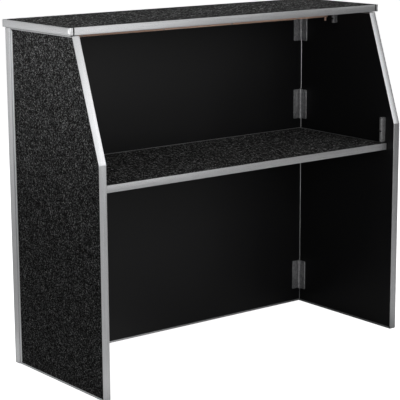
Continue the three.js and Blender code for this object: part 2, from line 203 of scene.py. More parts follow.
def zinc_steel(name, low, high, r0, r1, metal=1.0):
    """Plated steel: faint spangle, fine drawing lines, and duller patches."""
    g = Graph(name)
    where = g.place()
    spangle = g.node("ShaderNodeTexVoronoi", {"Vector": where, "Scale": 240.0})
    pick = g.node("ShaderNodeSeparateColor", {"Color": spangle.outputs["Color"]})
    lines = g.noise(g.place((900.0, 900.0, 25.0)), 1.0, 4.0)
    dull = g.noise(where, 60.0, 5.0, 0.6)
    tone = g.math("ADD", g.math("MULTIPLY", pick.outputs[0], 0.35), g.math("MULTIPLY", lines, 0.65))
    base = g.ramp(tone, [(0.2, low), (0.75, high)])
    base = g.mix(1.0, base, g.ramp(dull, [(0.35, 0.78), (0.65, 1.0)]), "MULTIPLY")
    rough = g.math("ADD", g.rescale(lines, 0.3, 0.7, r0, r1), g.rescale(dull, 0.35, 0.65, 0.08, 0.0))
    g.set(color=base, rough=rough, metal=metal, normal=g.bump(lines, 0.12, 0.0001))
    return g.mat


def planed_wood(name):
    """Bare softwood with the grain along its length."""
    g = Graph(name)
    where = g.place((2.2, 34.0, 34.0))
    bend = g.noise(g.place((2.0, 5.0, 5.0)), 1.0, 3.0)
    rings = g.node("ShaderNodeTexWave", {"Vector": where, "Scale": 1.1, "Distortion": 9.0, "Detail": 4.0, "Detail Scale": 1.6,
                                         "Phase Offset": 0.0}, wave_type="BANDS", bands_direction="Z", wave_profile="SIN")
    g.feed(rings.inputs["Phase Offset"], g.math("MULTIPLY", bend, 6.0))
    fibre = g.noise(g.place((14.0, 900.0, 900.0)), 1.0, 5.0, 0.6)
    tone = g.math("ADD", g.math("MULTIPLY", rings.outputs["Fac"], 0.55), g.math("MULTIPLY", fibre, 0.45))
    base = g.ramp(tone, [(0.15, (0.52, 0.32, 0.235)), (0.5, (0.74, 0.475, 0.36)), (0.85, (0.88, 0.605, 0.475))])
    rough = g.rescale(fibre, 0.3, 0.7, 0.62, 0.8)
    g.set(color=base, rough=rough, spec=0.3, normal=g.bump(fibre, 0.35, 0.0003))
    return g.mat


def black_paint(name):
    """Brushed black paint over wood: the grain shows faintly through."""
    g = Graph(name)
    grain = g.noise(g.place((40.0, 40.0, 40.0)), 9.0, 6.0, 0.65)
    fine = g.noise(g.place(), 700.0, 2.0)
    base = g.ramp(grain, [(0.3, (0.010, 0.010, 0.0105)), (0.7, (0.020, 0.020, 0.021))])
    rough = g.rescale(fine, 0.3, 0.7, 0.45, 0.62)
    g.set(color=base, rough=rough, spec=0.35, normal=g.bump(grain, 0.3, 0.0004))
    return g.mat


def matte_rubber(name):
    """Black rubber strip with a fine dusty surface."""
    g = Graph(name)
    fine = g.noise(g.place(), 1200.0, 3.0)
    dust = g.noise(g.place(), 45.0, 6.0, 0.7)
    base = g.mix(g.rescale(dust, 0.5, 0.8, 0.0, 0.5), g.ramp(fine, [(0.3, 0.008), (0.7, 0.016)]), (0.035, 0.034, 0.033, 1.0))
    rough = g.rescale(fine, 0.3, 0.7, 0.78, 0.92)
    g.set(color=base, rough=rough, spec=0.25, normal=g.bump(fine, 0.3, 0.0002))
    return g.mat


# One laminate in three copies: fleck brightness of 0.55 on the panels, 1.08 on the counter and 1.7 on the shelf is
# painted light for how light falls on each board; grain size and the brightest flecks also differ per copy.
SPECKLE = speckle_laminate("panel_speckle", 0.55, 0.01, 0.85, 0.25)
SPECKLE_TOP_PAINTED_LIGHT = speckle_laminate("counter_speckle_painted_light", 1.08, 0.012, 1.22, 0.8)
SPECKLE_SHELF_PAINTED_LIGHT = speckle_laminate("shelf_speckle_painted_light", 1.7, 0.012, 1.12, 0.7)
SATIN = satin_laminate("inner_satin")
ALU = brushed_aluminium("trim_aluminium")
# The shelf trims use a darker, less metallic copy of the trim aluminium: painted shade tuned to the light on the shelf.
ALU_SHELF_PAINTED_SHADE = brushed_aluminium("shelf_trim_aluminium_painted_shade", 0.78, 0.92)
HINGE = zinc_steel("hinge_zinc", (0.31, 0.31, 0.315), (0.51, 0.51, 0.52), 0.44, 0.58)
SCREW = zinc_steel("screw_zinc", (0.28, 0.28, 0.285), (0.46, 0.46, 0.47), 0.28, 0.40)
BOLT = zinc_steel("bolt_zinc", (0.13, 0.13, 0.132), (0.24, 0.24, 0.244), 0.38, 0.5, 0.35)
KNOB = zinc_steel("bolt_rod_steel", (0.012, 0.012, 0.0125), (0.034, 0.034, 0.035), 0.34, 0.5, 0.7)
WOOD = planed_wood("batten_pine")
PAINT = black_paint("ledge_paint")
RUBBER = matte_rubber("seat_rubber")


# ---------------------------------------------------------------- mesh helpers
def shell(verts, faces):
    bm = bmesh.new()
    vs = [bm.verts.new((x * MM, y * MM, z * MM)) for x, y, z in verts]
    for f in faces:
        bm.faces.new([vs[i] for i in f])
    bmesh.ops.recalc_face_normals(bm, faces=bm.faces[:])
    return bm


def soften(bm, width, segments=2, angle=30.0):
    """Rounds every edge that is sharper than the angle."""
    edges = [e for e in bm.edges if len(e.link_faces) == 2 and e.calc_face_angle(0.0) > math.radians(angle)]
    bmesh.ops.bevel(bm, geom=edges, offset=width * MM, segments=segments, profile=0.5, affect="EDGES", clamp_overlap=True)
    return bm


def prism(outline, w0, w1, at):
    """An outline in a plane, made solid between two depths; at(a, b, w) gives the point."""
    n = len(outline)
    verts = [at(a, b, w0) for a, b in outline] + [at(a, b, w1) for a, b in outline]
    faces = [list(range(n))[::-1], list(range(n, 2 * n))]
    faces += [[i, (i + 1) % n, n + (i + 1) % n, n + i] for i in range(n)]
    return shell(verts, faces)


def block(x0, x1, y0, y1, z0, z1, r=0.0, segments=2):
    x0, x1 = min(x0, x1), max(x0, x1)
    bm = prism([(x0, y0), (x1, y0), (x1, y1), (x0, y1)], z0, z1, lambda a, b, w: (a, b, w))
    return soften(bm, r, segments) if r else bm


def rounded(x0, x1, y0, y1, radii, steps=6):
    """Rectangle outline, counter-clockwise from the lower left, with a radius for each corner."""
    pts = []
    spec = [(x0, y0, 1, 1, 180), (x1, y0, -1, 1, 270), (x1, y1, -1, -1, 0), (x0, y1, 1, -1, 90)]
    for (x, y, sx, sy, a0), r in zip(spec, radii):
        if r <= 0:
            pts.append((x, y))
            continue
        for k in range(steps + 1):
            t = math.radians(a0 + 90.0 * k / steps)
            pts.append((x + sx * r + r * math.cos(t), y + sy * r + r * math.sin(t)))
    return pts


def lathe(profile, at, sides):
    """Profile of (radius, height) pairs turned about an axis; a radius of 0 closes an end."""
    verts, rings = [], []
    for r, h in profile:
        if r <= 1e-9:
            rings.append([len(verts)])
            verts.append(at(0.0, 0.0, h))
        else:
            start = len(verts)
            for k in range(sides):
                t = 2 * math.pi * k / sides
                verts.append(at(r * math.cos(t), r * math.sin(t), h))
            rings.append(list(range(start, start + sides)))
    faces = []
    for a, b in zip(rings, rings[1:]):
        if len(a) == 1:
            faces += [[a[0], b[k], b[(k + 1) % sides]] for k in range(sides)]
        elif len(b) == 1:
            faces += [[a[k], a[(k + 1) % sides], b[0]] for k in range(sides)]
        else:
            faces += [[a[k], a[(k + 1) % sides], b[(k + 1) % sides], b[k]] for k in range(sides)]
    return shell(verts, faces)


def upright(x, y):
    return lambda a, b, h: (x + a, y + b, h)


def lengthwise(x, z):
    return lambda a, b, h: (x + a, h, z + b)


def cylinder(x, y, z0, z1, r, sides=40, chamfer=0.0):
    c = chamfer
    prof = [(0, z0), (r - c, z0), (r, z0 + c), (r, z1 - c), (r - c, z1), (0, z1)] if c else [(0, z0), (r, z0), (r, z1), (0, z1)]
    return lathe(prof, upright(x, y), sides)


def combine(base, *steps):
    """Joins and cuts solids. Each step is ("UNION" or "DIFFERENCE", solid)."""
    made = []

    def temporary(bm):
        me = bpy.data.meshes.new("tmp")
        bm.to_mesh(me)
        bm.free()
        ob = bpy.data.objects.new("tmp", me)
        scene.collection.objects.link(ob)
        made.append(ob)
        return ob

    body = temporary(base)
    for op, tool in steps:
        m = body.modifiers.new(op, "BOOLEAN")
        m.operation, m.solver, m.object = op, "EXACT", temporary(tool)
    bpy.context.view_layer.update()
    me = bpy.data.meshes.new_from_object(body.evaluated_get(bpy.context.evaluated_depsgraph_get()))
    bm = bmesh.new()
    bm.from_mesh(me)
    bpy.data.meshes.remove(me)
    for ob in made:
        data = ob.data
        bpy.data.objects.remove(ob)
        bpy.data.meshes.remove(data)
    bmesh.ops.remove_doubles(bm, verts=bm.verts[:], dist=2e-6)
    bmesh.ops.dissolve_degenerate(bm, edges=bm.edges[:], dist=1e-6)
    bmesh.ops.recalc_face_normals(bm, faces=bm.faces[:])
    return bm


def merge(bms):
    out = bmesh.new()
    for b in bms:
        me = bpy.data.meshes.new("tmp")
        b.to_mesh(me)
        b.free()
        out.from_mesh(me)
        bpy.data.meshes.remove(me)
    return out


def place(name, bm, mats, body, nodes=(), smooth=32.0):
    """Makes a solid into a piece of the bar."""
    me = bpy.data.meshes.new(name)
    bm.to_mesh(me)
    bm.free()
    ob = bpy.data.objects.new(name, me)
    scene.collection.objects.link(ob)
    for m in mats if isinstance(mats, (list, tuple)) else [mats]:
        me.materials.append(m)
    me.shade_smooth()
    me.set_sharp_from_angle(angle=math.radians(smooth))
    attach(ob, body)
    if nodes:
        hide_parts(*nodes)
    return ob


# ---------------------------------------------------------------- trim channel
def arc(cx, cy, r, a0, a1, steps):
    return [(cx + r * math.cos(math.radians(a0 + (a1 - a0) * k / steps)),
             cy + r * math.sin(math.radians(a0 + (a1 - a0) * k / steps))) for k in range(steps + 1)]


def channel(thick, low, high, r=1.2, t=WALL, e=0.3):
    """Section of the channel: u runs inward from the edge, w through the thickness."""
    ri = max(r - t, 0.25)
    p = [(low - e, 0.0)]
    p += arc(r, r, r, 270, 180, 5)
    p += arc(r, thick - r, r, 180, 90, 5)
    p += [(high - e, thick), (high, thick - e), (high, thick - t + 0.2), (high - 0.2, thick - t)]
    p += arc(t + ri, thick - t - ri, ri, 90, 180, 2)
    p += arc(t + ri, t + ri, ri, 180, 270, 2)
    p += [(low - 0.2, t), (low, t - 0.2), (low, e)]
    return p


strip_no = 0


def trim(name, path, section, at, body, nodes, cot0=0.0, cot1=0.0, gap=0.2, mat=None):
    """Sweeps the channel along a path whose left side is the board, with mitred ends."""
    global strip_no
    strip_no += 1
    n, m = len(path), len(section)
    dirs = []
    for (ax, ay), (bx, by) in zip(path, path[1:]):
        l = math.hypot(bx - ax, by - ay)
        dirs.append(((bx - ax) / l, (by - ay) / l))
    verts, run = [], [0.0]
    for k in range(n):
        px, py = path[k]
        if k == 0:
            d = dirs[0]
            px, py = px + d[0] * gap, py + d[1] * gap
            mx, my = -d[1] + d[0] * cot0, d[0] + d[1] * cot0
        elif k == n - 1:
            d = dirs[-1]
            px, py = px - d[0] * gap, py - d[1] * gap
            mx, my = -d[1] - d[0] * cot1, d[0] - d[1] * cot1
        else:
            a, b = dirs[k - 1], dirs[k]
            n0, n1 = (-a[1], a[0]), (-b[1], b[0])
            f = 1.0 + n0[0] * n1[0] + n0[1] * n1[1]
            mx, my = (n0[0] + n1[0]) / f, (n0[1] + n1[1]) / f
        verts += [at(px + mx * u, py + my * u, w) for u, w in section]
        if k:
            run.append(run[-1] + math.hypot(path[k][0] - path[k - 1][0], path[k][1] - path[k - 1][1]))
    girth = [0.0]
    for j in range(m):
        a, b = section[j], section[(j + 1) % m]
        girth.append(girth[-1] + math.hypot(b[0] - a[0], b[1] - a[1]))
    bm = bmesh.new()
    vs = [bm.verts.new((x * MM, y * MM, z * MM)) for x, y, z in verts]
    layer = bm.loops.layers.uv.new("UVMap")
    off = strip_no * 0.37
    for k in range(n - 1):
        for j in range(m):
            q = [(k, j), (k + 1, j), (k + 1, j + 1), (k, j + 1)]
            f = bm.faces.new([vs[a * m + b % m] for a, b in q])
            for loop, (a, b) in zip(f.loops, q):
                loop[layer].uv = (run[a] * MM + off, girth[b] * MM + off)
    for k, order in ((0, range(m)), (n - 1, reversed(range(m)))):
        idx = list(order)
        f = bm.faces.new([vs[k * m + j] for j in idx])
        for loop, j in zip(f.loops, idx):
            loop[layer].uv = (section[j][0] * MM + off, section[j][1] * MM + off)
    bmesh.ops.recalc_face_normals(bm, faces=bm.faces[:])
    return place(name, bm, mat or ALU, body, nodes)


def half_cot(v, p, q):
    a, b = Vector((p[0] - v[0], p[1] - v[1])).normalized(), Vector((q[0] - v[0], q[1] - v[1])).normalized()
    return 1.0 / math.tan(math.acos(max(-1.0, min(1.0, a.dot(b)))) / 2)


def inset(points, d):
    """Moves every side of a convex counter-clockwise outline inward."""
    n, lines, out = len(points), [], []
    for i, (px, py) in enumerate(points):
        qx, qy = points[(i + 1) % n]
        l = math.hypot(qx - px, qy - py)
        dx, dy = (qx - px) / l, (qy - py) / l
        lines.append((px - dy * d, py + dx * d, dx, dy))
    for i in range(n):
        ax, ay, adx, ady = lines[i - 1]
        bx, by, bdx, bdy = lines[i]
        t = ((bx - ax) * bdy - (by - ay) * bdx) / (adx * bdy - ady * bdx)
        out.append((ax + adx * t, ay + ady * t))
    return out


def board(name, outline, thick, at, outer_low, mats, body, nodes, holes=()):
    bm = prism(outline, RECESS, thick - RECESS, at)
    bm.faces.ensure_lookup_table()
    low, high = bm.faces[0], bm.faces[1]
    for f in bm.faces:
        f.material_index = 1
    (low if outer_low else high).material_index = 0
    soften(bm, 0.4, 1)
    if holes:
        bm = combine(bm, *[("DIFFERENCE", h) for h in holes])
    return place(name, bm, mats, body, nodes, smooth=20.0)


# ---------------------------------------------------------------- front panel
def at_front(a, b, w):
    return (a, Y_CUSTOMER - w, b)


ROOT = "folding_body"
front = [(-FRONT_X, 0.0), (FRONT_X, 0.0), (FRONT_X, PANEL_H), (-FRONT_X, PANEL_H)]
board("front_panel_board.v", inset(front, RECESS), PANEL_T, at_front, True, [SPECKLE, SATIN], ROOT, ["front_panel_board"])
for i, side in enumerate(["bottom", "right", "top", "left"]):
    lip = FOOT_LIP if side == "bottom" else LIP
    trim(f"front_panel_trim_{side}.v", [front[i], front[(i + 1) % 4]], channel(PANEL_T, lip, lip), at_front, ROOT,
         [f"front_panel_trim_{side}"], 1.0, 1.0)

# ---------------------------------------------------------------- side panels
kink = (Y_WORK, KINK_H)
top = (Y_WORK_TOP, PANEL_H)
slope = Vector((top[0] - kink[0], top[1] - kink[1]))
turn = math.atan2(slope.x, slope.y)
cut = KINK_R * math.tan(turn / 2)
bend_c = (Y_WORK + KINK_R, KINK_H - cut)
# the working edge, downwards: slope, soft bend, upright
bend = arc(bend_c[0], bend_c[1], KINK_R, 180.0 - math.degrees(turn), 180.0, 8)
work_edge = [top] + bend + [(Y_WORK, 0.0)]
side_outline = [(Y_WORK, 0.0), (Y_REAR, 0.0), (Y_REAR, PANEL_H)] + [top] + bend
cot_top = half_cot(top, (Y_REAR, PANEL_H), kink)

for side, s in (("left", -1), ("right", 1)):
    x0 = -X_OUT if s < 0 else X_IN

    def at_side(a, b, w, x0=x0):
        return (x0 + w, a, b)

    outer_low = s < 0
    board(f"{side}_panel_board.v", inset(side_outline, RECESS), PANEL_T, at_side, outer_low, [SPECKLE, SATIN], ROOT,
          [f"{side}_panel_board"])
    plain = channel(PANEL_T, LIP, LIP)
    corner = channel(PANEL_T, CORNER_LIP, LIP, e=0.7) if outer_low else channel(PANEL_T, LIP, CORNER_LIP, e=0.7)
    trim(f"{side}_panel_trim_bottom.v", [(Y_WORK, 0.0), (Y_REAR, 0.0)], channel(PANEL_T, FOOT_LIP, FOOT_LIP), at_side, ROOT, [f"{side}_panel_trim_bottom"], 1.0, 1.0)
    trim(f"{side}_panel_trim_rear.v", [(Y_REAR, 0.0), (Y_REAR, PANEL_H)], corner, at_side, ROOT, [f"{side}_panel_trim_rear"], 1.0, 1.0)
    trim(f"{side}_panel_trim_top.v", [(Y_REAR, PANEL_H), top], plain, at_side, ROOT, [f"{side}_panel_trim_top"], 1.0, cot_top)
    trim(f"{side}_panel_trim_work.v", work_edge, channel(PANEL_T, WORK_LIP, WORK_LIP, 1.0), at_side, ROOT, [f"{side}_panel_trim_slope", f"{side}_panel_trim_edge"], cot_top, 1.0)


# ---------------------------------------------------------------- screws
def screw_head(at, r=3.6, dome=0.9, sink=0.4, spin=0.3, sides=48, rings=10):
    """Oval countersunk head with a cross recess; at(a, b, h) puts it on its face."""
    verts, faces = [at(0.0, 0.0, dome - 1.3 * r / 3.6)], []
    for i in range(1, rings + 1):
        rr = r * i / rings
        for k in range(sides):
            t = 2 * math.pi * k / sides
            x, y = rr * math.cos(t), rr * math.sin(t)
            h = dome * (1.0 - 0.85 * (rr / r) ** 2)
            a, b = x * math.cos(spin) + y * math.sin(spin), -x * math.sin(spin) + y * math.cos(spin)
            arm = 0.15 * r
            inside = min(abs(a), abs(b)) < arm
            reach = max(0.0, 1.0 - (rr / (0.66 * r)) ** 4) if rr < 0.66 * r else 0.0
            if inside:
                h -= 1.3 * (r / 3.6) * reach
            verts.append(at(x, y, h))
    for k in range(sides):
        t = 2 * math.pi * k / sides
        verts.append(at(r * math.cos(t), r * math.sin(t), -sink))
    ring = lambda i, k: 1 + (i - 1) * sides + k % sides
    faces += [[0, ring(1, k), ring(1, k + 1)] for k in range(sides)]
    for i in range(1, rings + 1):
        faces += [[ring(i, k), ring(i + 1, k), ring(i + 1, k + 1), ring(i, k + 1)] for k in range(sides)]
    faces.append([ring(rings + 1, k) for k in range(sides)])
    return shell(verts, faces)


def on_front(x, z, y):
    """A face that looks towards the bartender."""
    return lambda a, b, h: (x + a, y - h, z + b)


def on_side(y, z, x, s):
    """A face on a side panel that looks into the bay."""
    return lambda a, b, h: (s * (x - h), y + a, z + b)


def on_top(x, y, z):
    return lambda a, b, h: (x + a, y + b, z + h)


# ---------------------------------------------------------------- hinges
for side, s in (("left", -1), ("right", 1)):
    heads = []
    for label, zc in HINGE_Z.items():
        z0, seg = zc - HINGE_H / 2, HINGE_H / 5
        hx = s * HINGE_X
        spots = [zc - 34.0, zc, zc + 34.0]

        def knuckle(k):
            return cylinder(hx, HINGE_Y, z0 + k * seg + 0.2, z0 + (k + 1) * seg - 0.2, KNUCKLE_R, 40, 0.5)

        def room(k):
            return cylinder(hx, HINGE_Y, z0 + k * seg - 0.2, z0 + (k + 1) * seg + 0.2, KNUCKLE_R + 0.5, 40)

        def bore():
            return cylinder(hx, HINGE_Y, z0 - 5, z0 + HINGE_H + 5, PIN_R + GAP, 32)

        # leaf on the front panel
        a0, a1 = HINGE_X + KNUCKLE_R - HINGE_REACH, HINGE_X + 0.4
        flat = rounded(a0, a1, z0, z0 + HINGE_H, (4.5, 0.0, 0.0, 4.5))
        leaf = soften(prism(flat, FRONT_FACE - GAP - FRONT_LEAF_T, FRONT_FACE - GAP, lambda a, b, w: (s * a, w, b)), 0.45, 2, 50.0)
        leaf = combine(leaf, *[("DIFFERENCE", room(k)) for k in (1, 3)], *[("UNION", knuckle(k)) for k in (0, 2, 4)], ("DIFFERENCE", bore()))
        place(f"{side}_{label}_hinge_front_leaf.v", leaf, HINGE, ROOT, [f"{side}_{label}_hinge_front_leaf"])

        # leaf on the side panel
        b0, b1 = HINGE_Y + KNUCKLE_R - HINGE_REACH, HINGE_Y - 0.9
        flat = rounded(b0, b1, z0, z0 + HINGE_H, (4.5, 0.0, 0.0, 4.5))
        leaf = soften(prism(flat, SIDE_FACE - GAP - SIDE_LEAF_T, SIDE_FACE - GAP, lambda a, b, w: (s * w, a, b)), 0.8, 3, 50.0)
        nose = rounded(SIDE_FACE - GAP - SIDE_LEAF_T - 0.05, SIDE_FACE + 2.0, b0 - 0.05, b1 + 2.0, (3.0, 0.0, 0.0, 0.0), 8)
        nose = prism(nose, z0 - 2.0, z0 + HINGE_H + 2.0, lambda a, b, w: (s * a, b, w))
        leaf = combine(leaf, ("INTERSECT", nose), *[("DIFFERENCE", room(k)) for k in (0, 2, 4)], *[("UNION", knuckle(k)) for k in (1, 3)], ("DIFFERENCE", bore()))
        place(f"{side}_{label}_hinge_side_leaf.v", leaf, HINGE, ROOT, [f"{side}_{label}_hinge_side_leaf"])

        pin = lathe([(0, z0 - 0.4), (PIN_R - 0.4, z0 - 0.4), (PIN_R, z0), (PIN_R, z0 + HINGE_H + 0.2), (4.2, z0 + HINGE_H + 0.2),
                     (4.4, z0 + HINGE_H + 0.5), (4.3, z0 + HINGE_H + 1.3), (3.6, z0 + HINGE_H + 2.1), (2.2, z0 + HINGE_H + 2.65),
                     (0, z0 + HINGE_H + 2.8)], upright(hx, HINGE_Y), 40)
        place(f"{side}_{label}_hinge_pin.v", pin, SCREW, ROOT, [f"{side}_{label}_hinge_pin"])

        for i, z in enumerate(spots):
            dx = 0.0 if i != 1 else -3.0
            heads.append(screw_head(on_front(s * (a0 + 10.0 + dx), z, FRONT_FACE - GAP - FRONT_LEAF_T), 3.6, spin=0.4 + 0.7 * i))
            heads.append(screw_head(on_side(b0 + 10.0 + dx, z, SIDE_FACE - GAP - SIDE_LEAF_T, s), 3.6, spin=0.9 - 0.5 * i))
    place(f"{side}_hinge_screws", merge(heads), SCREW, ROOT, smooth=28.0)

# ---------------------------------------------------------------- ledges under the shelf
ledge_top = SHELF_TOP - SHELF_T - GAP
heads = []
for side, s in (("left", -1), ("right", 1)):
    b = soften(block(s * (SIDE_FACE - GAP - 18.0), s * (SIDE_FACE - GAP), -95.0, 180.0, ledge_top - 28.0, ledge_top), 1.6, 3)
    place(f"{side}_shelf_ledge.v", b, PAINT, ROOT, [f"{side}_shelf_ledge"])
    for i, y in enumerate((-70.0, 42.0, 155.0)):
        heads.append(screw_head(on_side(y, ledge_top - 15.0, SIDE_FACE - GAP - 18.0, s), 4.0, spin=0.5 * i))
b = soften(block(-480.0, 480.0, FRONT_FACE - GAP - 18.0, FRONT_FACE - GAP, ledge_top - 28.0, ledge_top), 1.6, 3)
place("rear_shelf_ledge.v", b, PAINT, ROOT, ["rear_shelf_ledge"])
for i, x in enumerate((-420.0, -140.0, 140.0, 420.0)):
    heads.append(screw_head(on_front(x, ledge_top - 15.0, FRONT_FACE - GAP - 18.0), 4.0, spin=0.2 + 0.6 * i))
place("ledge_screws", merge(heads), SCREW, ROOT, smooth=28.0)

# ---------------------------------------------------------------- barrel bolts for the shelf and the counter
def d_section(s, y, d, steps=20):
    """Half-round towards the bay, flat sides to the panel, moved inward by d."""
    r, wall = BARREL_R - d, SIDE_FACE - GAP - d
    pts = [(wall, y + r)] + [(BOLT_X + r * math.cos(a), y + r * math.sin(a))
                             for a in (math.pi / 2 + math.pi * k / steps for k in range(steps + 1))] + [(wall, y - r)]
    return [(s * a, b) for a, b in pts]


def d_bar(s, y, z0, z1, domed_top):
    round_, small = 2.6, 0.4
    levels = [(small, 0.0), (0.0, small)]
    for k in range(7):
        a = math.radians(15.0 * k)
        levels.append((round_ * (1 - math.cos(a)), (z1 - z0) - round_ + round_ * math.sin(a)))
    rings = [[(a, b, z0 + h if domed_top else z1 - h) for a, b in d_section(s, y, d)] for d, h in levels]
    n = len(rings[0])
    verts = [v for ring in rings for v in ring]
    faces = [list(range(n)), list(range((len(rings) - 1) * n, len(rings) * n))]
    for i in range(len(rings) - 1):
        faces += [[i * n + k, i * n + (k + 1) % n, (i + 1) * n + (k + 1) % n, (i + 1) * n + k] for k in range(n)]
    return shell(verts, faces)


for side, s in (("left", -1), ("right", 1)):
    for use, (y, (z0, z1), (rod0, rod1), knob, domed_top, bore, slot) in BOLTS.items():
        bx = s * BOLT_X
        w = KNOB_R + 0.8
        mouth = prism(rounded(bx - w, bx + w, slot[0], slot[1], (2.4,) * 4, 6), y, y + 10.0, lambda a, b, d: (a, d, b))
        notch = block(s * (BOLT_X - 10.0), s * BOLT_X, y - 5.0, y + 10.0, knob - 2.7, knob + 2.7)
        housing = combine(d_bar(s, y, z0, z1, domed_top), ("DIFFERENCE", cylinder(bx, y, *bore, BOLT_R + GAP, 32)),
                          ("DIFFERENCE", mouth), ("DIFFERENCE", notch))
        for f in housing.faces:                         # the faces inside the notch get the dark rod steel: painted shade in the recess
            c = f.calc_center_median() / MM
            if abs(c.z - knob) < 2.75 and math.hypot(s * c.x - BOLT_X, c.y - y) < BARREL_R - 0.4:
                f.material_index = 1
        place(f"{side}_{use}_bolt_housing.v", housing, [BOLT, KNOB], ROOT, [f"{side}_{use}_bolt_housing"])

        r = BOLT_R
        shaft = lathe([(0, rod0), (r - 0.9, rod0), (r - 0.3, rod0 + 0.4), (r, rod0 + 1.1), (r, rod1 - 1.1), (r - 0.3, rod1 - 0.4),
                       (r - 0.9, rod1), (0, rod1)], upright(bx, y), 32)
        stem = lathe([(0, y), (KNOB_R, y), (KNOB_R, y + 9.5), (0, y + 9.5)], lengthwise(bx, knob), 28)
        k = KNOB_R + 0.7
        ball = lathe([(0, y + 7.4), (k - 0.7, y + 7.4), (k - 0.2, y + 7.8), (k, y + 8.8), (k, y + 11.6), (k - 0.4, y + 12.7),
                      (k - 1.3, y + 13.3), (0, y + 13.4)], lengthwise(bx, knob), 28)
        place(f"{side}_{use}_bolt_rod.v", combine(shaft, ("UNION", stem), ("UNION", ball)), KNOB, f"{side}_{use}_bolt",
              [f"{side}_{use}_bolt_rod"])


def mortise(s, y, z0, z1):
    h = BOLT_HOLE
    return prism(rounded(s * BOLT_X - h, s * BOLT_X + h, y - h, y + h, (0.8,) * 4, 3), z0, z1, lambda a, b, w: (a, b, w))


# ---------------------------------------------------------------- counter
def at_counter(a, b, w):
    return (a, b, COUNTER_Z + w)


def counter_outline(d, steps=16):
    x, y0, y1, r = COUNTER_X - d, COUNTER_Y0 + d, COUNTER_Y1 - d, COUNTER_R - d
    return rounded(-x, x, y0, y1, (r,) * 4, steps)


board("counter_board.v", counter_outline(RECESS), COUNTER_T, at_counter, False, [SPECKLE_TOP_PAINTED_LIGHT, SATIN], "counter", ["counter_board"],
      holes=[mortise(s, BOLTS["counter"][0], 1050.0, 1068.0) for s in (-1, 1)])
edge = channel(COUNTER_T, LIP, LIP, 1.4)
X, R, C0, C1 = COUNTER_X, COUNTER_R, COUNTER_Y0, COUNTER_Y1
left_run = [(-SEAM_X, C1)] + arc(-X + R, C1 - R, R, 90, 180, 10) + arc(-X + R, C0 + R, R, 180, 270, 10) + [(-SEAM_X, C0)]
right_run = [(SEAM_X, C0)] + arc(X - R, C0 + R, R, 270, 360, 10) + arc(X - R, C1 - R, R, 0, 90, 10) + [(SEAM_X, C1)]
inner = SEAM_X - SEAM
for label, run in (("left", left_run), ("right", right_run), ("front", [(-inner, C0), (inner, C0)]), ("rear", [(inner, C1), (-inner, C1)])):
    trim(f"counter_trim_{label}.v", run, edge, at_counter, "counter", [f"counter_trim_{label}"], gap=0.0)

under = COUNTER_Z + RECESS - GAP
bl = SIDE_FACE - GAP - 3.3
batten = soften(block(-bl, bl, BATTEN_Y0, BATTEN_Y1, BATTEN_Z0, under), 1.2, 3)
tabs = [soften(block(s * TAB_X0, s * TAB_X1, BATTEN_Y0 + 0.1, BATTEN_Y0 + TAB_D, TAB_Z0, BATTEN_Z0 + 6.0), 0.8, 3) for s in (-1, 1)]
place("counter_batten.v", combine(batten, *[("UNION", b) for b in tabs]), WOOD, "counter", ["counter_batten"])
heads = [screw_head(on_front(x, z, BATTEN_Y0), 3.8, 0.5, 0.5, spin=0.3 + i) for i, (x, z) in
         enumerate(((-430.0, 1030.0), (-124.7, 1030.0), (148.7, 1029.0), (430.0, 1029.5)))]
place("batten_screws", merge(heads), SCREW, "counter", smooth=28.0)
for name, (x0, x1, y0, y1) in {"left": (-X_OUT + 5, -X_IN - 5, -112.0, 205.0), "right": (X_IN + 5, X_OUT - 5, -112.0, 205.0),
                               "rear": (-560.0, 560.0, 222.0, 236.0)}.items():
    place(f"{name}_seat_strip.v", soften(block(x0, x1, y0, y1, PANEL_H + GAP, under), 0.9, 3), RUBBER, "counter", [f"{name}_seat_strip"])


# ---------------------------------------------------------------- shelf
def at_shelf(a, b, w):
    return (a, b, SHELF_TOP - SHELF_T + w)


shelf = [(-SHELF_X, SHELF_Y0), (SHELF_X, SHELF_Y0), (SHELF_X, SHELF_Y1), (-SHELF_X, SHELF_Y1)]

board("shelf_board.v", inset(shelf, RECESS), SHELF_T, at_shelf, False, [SPECKLE_SHELF_PAINTED_LIGHT, SATIN], "shelf", ["shelf_board"],
      holes=[mortise(s, BOLTS["shelf"][0], 590.0, 650.0) for s in (-1, 1)])
for i, side in enumerate(["front", "right", "rear", "left"]):
    trim(f"shelf_trim_{side}.v", [shelf[i], shelf[(i + 1) % 4]], channel(SHELF_T, SHELF_LIP, SHELF_LIP), at_shelf, "shelf",
         [f"shelf_trim_{side}"], 1.0, 1.0, mat=ALU_SHELF_PAINTED_SHADE)
# ---------------------------------------------------------------- floor, light and camera
def sheet(name, level, mat, size=60.0):
    me = bpy.data.meshes.new(name)
    me.from_pydata([(-size, -size, level), (size, -size, level), (size, size, level), (-size, size, level)], [], [(0, 1, 2, 3)])
    me.materials.append(mat)
    ob = bpy.data.objects.new(name, me)
    scene.collection.objects.link(ob)
    return ob


# The white floor that is seen, and a greyer one below it that the bar reflects, with painted shade and a painted glow
# laid out by position
paper = Graph("floor_white")
grain = paper.noise(paper.place(), 30.0, 4.0)
paper.set(color=paper.ramp(grain, [(0.3, 0.80), (0.7, 0.82)]), rough=0.9, spec=0.0)
paper.bsdf.inputs["Emission Color"].default_value = (1.0, 1.0, 1.0, 1.0)
paper.bsdf.inputs["Emission Strength"].default_value = 0.95
floor = sheet("floor", -0.0003, paper.mat)
floor.visible_diffuse = floor.visible_glossy = floor.visible_shadow = False

